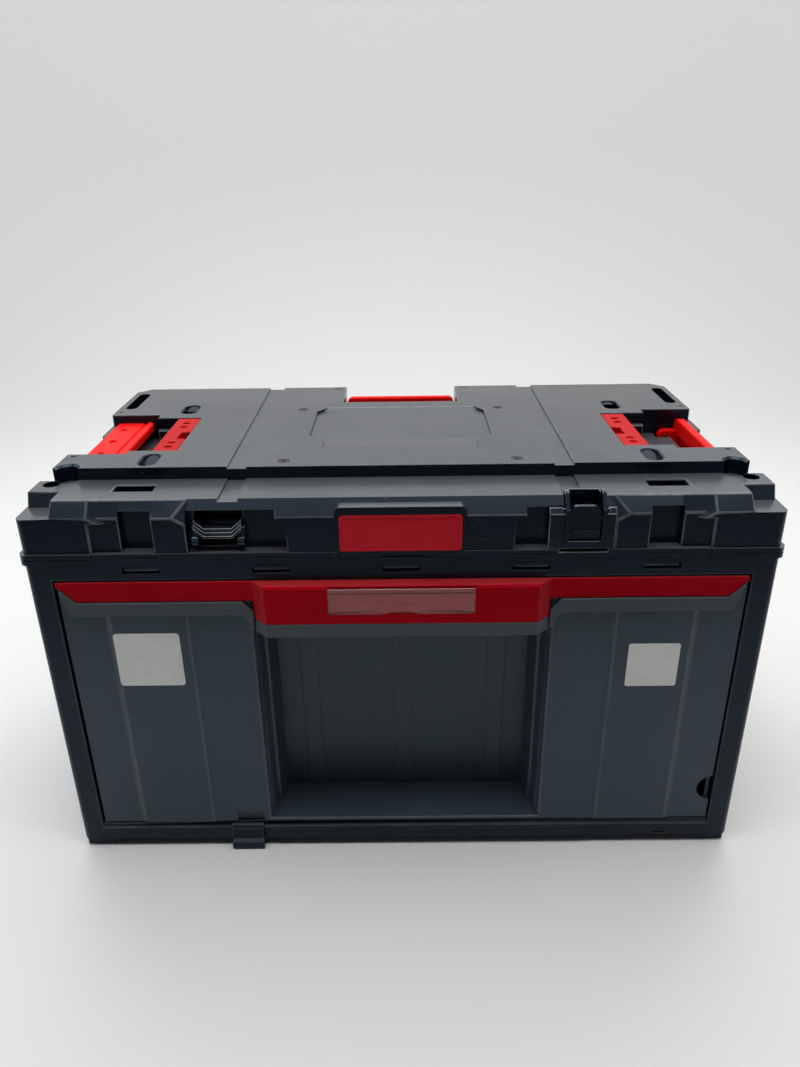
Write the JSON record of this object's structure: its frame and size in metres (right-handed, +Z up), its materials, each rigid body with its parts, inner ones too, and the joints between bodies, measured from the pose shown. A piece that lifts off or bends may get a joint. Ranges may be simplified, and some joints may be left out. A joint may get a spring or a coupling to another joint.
{
  "type": "portable tool box with a drawer",
  "caption": "Portable stacking tool box: black moulded case with one full-width drawer on ball-bearing runners, red grip bar, folding red handles and locking sliders on its lid.",
  "frame": {"origin": "middle of the footprint, on the surface the feet stand on", "axes": "+X to the right seen from the front, along the longest side; +Y to the back; +Z up. The drawer opens towards -Y"},
  "size_m": [0.585, 0.3192, 0.345],
  "materials": {
    "case_black": "moulded black plastic, satin, fine moulding texture",
    "lid_black": "moulded black plastic, satin",
    "drawer_grey": "moulded dark grey plastic, satin",
    "trim_grey": "moulded dark grey plastic lip",
    "grip_red": "deep red gloss plastic",
    "badge_red": "red gloss plastic, bare",
    "handle_red": "bright red moulded plastic",
    "window_clear": "clear plastic window",
    "card_paper": "blank insert card",
    "label_white": "blank pale sticker",
    "steel_zinc": "zinc-plated pressed steel",
    "steel_balls": "polished bearing balls in a thin steel cage",
    "screw_steel": "plated screws",
    "pin_steel": "steel hinge pins",
    "bracket_black": "moulded black spacer"
  },
  "bodies": {
    "case": {"cabinet": "case_black", "lid": "lid_black", "lid_floor": "bracket_black", "deck_screws": "screw_steel", "badge_plate": "badge_red", "handle_pins": "pin_steel", "latch_housing": "lid_black", "latch_pin": "pin_steel", "left_catch": "lid_black", "stack_hook": "case_black", "left_runner_bracket": "bracket_black", "right_runner_bracket": "bracket_black", "left_outer_rail": "steel_zinc", "right_outer_rail": "steel_zinc"},
    "drawer": {"drawer_front": "drawer_grey", "drawer_tray": "drawer_grey", "drawer_screws": "screw_steel", "grip_bar": "grip_red", "grip_trim": "trim_grey", "label_window": "window_clear", "label_card": "card_paper", "left_label": "label_white", "right_label": "label_white", "left_inner_rail": "steel_zinc", "right_inner_rail": "steel_zinc"},
    "middle_rails": {"left_middle_rail": "steel_zinc", "right_middle_rail": "steel_zinc"},
    "outer_cages": {"left_outer_ball_cage": "steel_balls", "right_outer_ball_cage": "steel_balls"},
    "inner_cages": {"left_inner_ball_cage": "steel_balls", "right_inner_ball_cage": "steel_balls"},
    "left_handle": {"left_handle": "handle_red"},
    "right_handle": {"right_handle": "handle_red"},
    "rear_handle": {"rear_handle": "handle_red"},
    "left_slider": {"left_slider": "handle_red"},
    "right_slider": {"right_slider": "handle_red"},
    "latch_flap": {"latch_flap": "lid_black"}
  },
  "joints": [
    {"name": "drawer_slide", "type": "slide", "parent": "case", "child": "drawer", "axis": [0, -1, 0], "range_m": [0, 0.225]},
    {"name": "middle_rail_slide", "type": "slide", "parent": "case", "child": "middle_rails", "axis": [0, -1, 0], "range_m": [0, 0.1125]},
    {"name": "outer_cage_slide", "type": "slide", "parent": "case", "child": "outer_cages", "axis": [0, -1, 0], "range_m": [0, 0.05625]},
    {"name": "inner_cage_slide", "type": "slide", "parent": "case", "child": "inner_cages", "axis": [0, -1, 0], "range_m": [0, 0.16875]},
    {"name": "left_handle_hinge", "type": "hinge", "parent": "case", "child": "left_handle", "pos_m": [-0.253, -0.003, 0.32], "axis": [0, -1, 0], "range_deg": [0, 90]},
    {"name": "right_handle_hinge", "type": "hinge", "parent": "case", "child": "right_handle", "pos_m": [0.253, -0.003, 0.32], "axis": [0, -1, 0], "range_deg": [0, 90]},
    {"name": "rear_handle_hinge", "type": "hinge", "parent": "case", "child": "rear_handle", "pos_m": [0, 0.1255, 0.32], "axis": [1, 0, 0], "range_deg": [0, 90]},
    {"name": "left_slider_slide", "type": "slide", "parent": "case", "child": "left_slider", "axis": [-1, 0, 0], "range_m": [0, 0.012]},
    {"name": "right_slider_slide", "type": "slide", "parent": "case", "child": "right_slider", "axis": [1, 0, 0], "range_m": [0, 0.012]},
    {"name": "latch_flap_hinge", "type": "hinge", "parent": "case", "child": "latch_flap", "pos_m": [0.1385, -0.141, 0.316], "axis": [-1, 0, 0], "range_deg": [0, 20]}
  ],
  "couplings": [
    {"joint": "middle_rail_slide", "follows": "drawer_slide", "ratio": 0.5},
    {"joint": "outer_cage_slide", "follows": "drawer_slide", "ratio": 0.25},
    {"joint": "inner_cage_slide", "follows": "drawer_slide", "ratio": 0.75}
  ]
}
